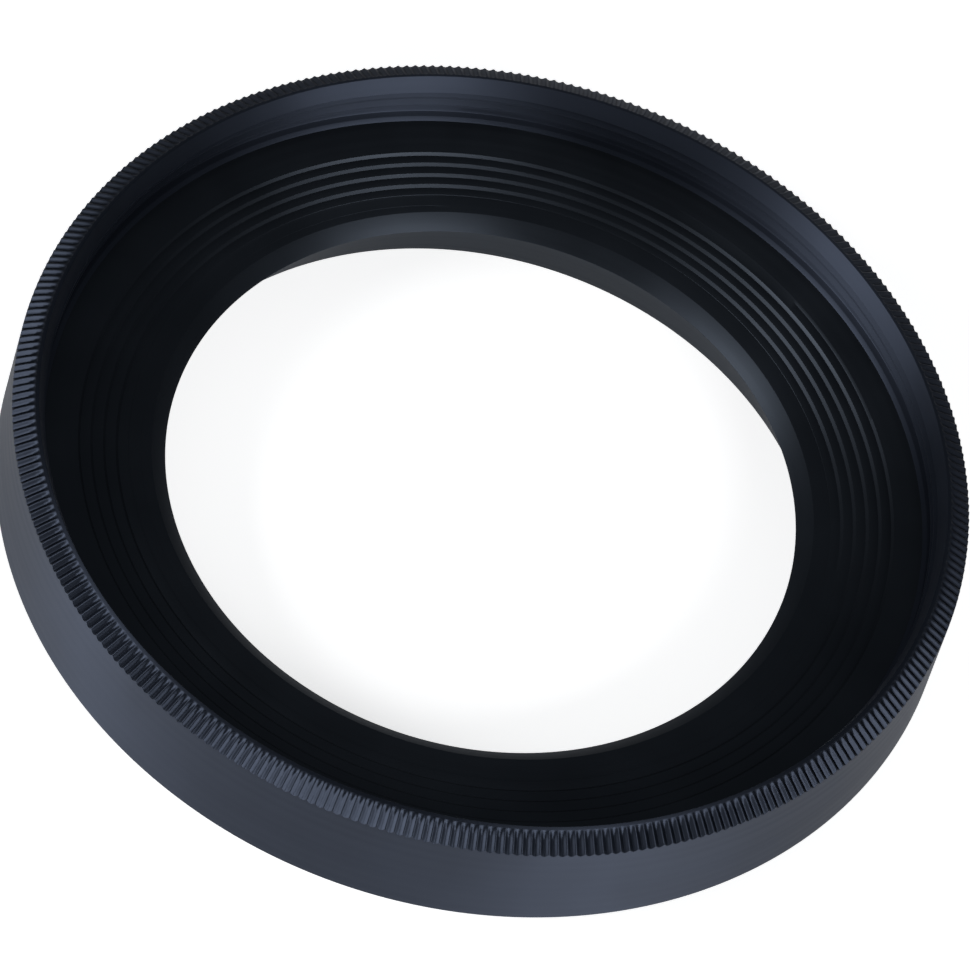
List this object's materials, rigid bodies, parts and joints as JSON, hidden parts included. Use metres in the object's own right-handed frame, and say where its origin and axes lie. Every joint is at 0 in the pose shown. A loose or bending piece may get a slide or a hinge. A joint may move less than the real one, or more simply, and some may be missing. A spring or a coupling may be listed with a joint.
{
  "type": "lens hood",
  "caption": "Shallow round screw-in lens hood: knurled barrel with a front filter thread, ridged baffle plate with a knife-edge aperture, and a threaded mount ring.",
  "frame": {"origin": "centre of the rear end of the mount thread, which the hood stands on", "axes": "+Z along the optical axis, from the mount thread to the mouth; X and Y lie across it and are interchangeable"},
  "size_m": [0.055, 0.055, 0.0091],
  "materials": {
    "satin_black_anodised": "satin black anodised, cut knurl on the rim",
    "matte_black_anodised": "matte black anodised, turned",
    "mount_black_anodised": "dull black anodised, turned"
  },
  "bodies": {
    "mount_ring": {"mount_ring": "mount_black_anodised"},
    "baffle_plate": {"baffle_plate": "matte_black_anodised"},
    "barrel": {"barrel": "satin_black_anodised"}
  },
  "joints": [
    {"name": "barrel_unscrew", "type": "hinge", "parent": "mount_ring", "child": "baffle_plate", "pos_m": [0, 0, 0.0047], "axis": [0, 0, 1], "range_deg": [0, 1080]},
    {"name": "barrel_lift", "type": "slide", "parent": "baffle_plate", "child": "barrel", "axis": [0, 0, 1], "range_m": [0, 0.00226]}
  ],
  "couplings": [
    {"joint": "barrel_lift", "follows": "barrel_unscrew", "m_per_rad": 0.00011937}
  ]
}
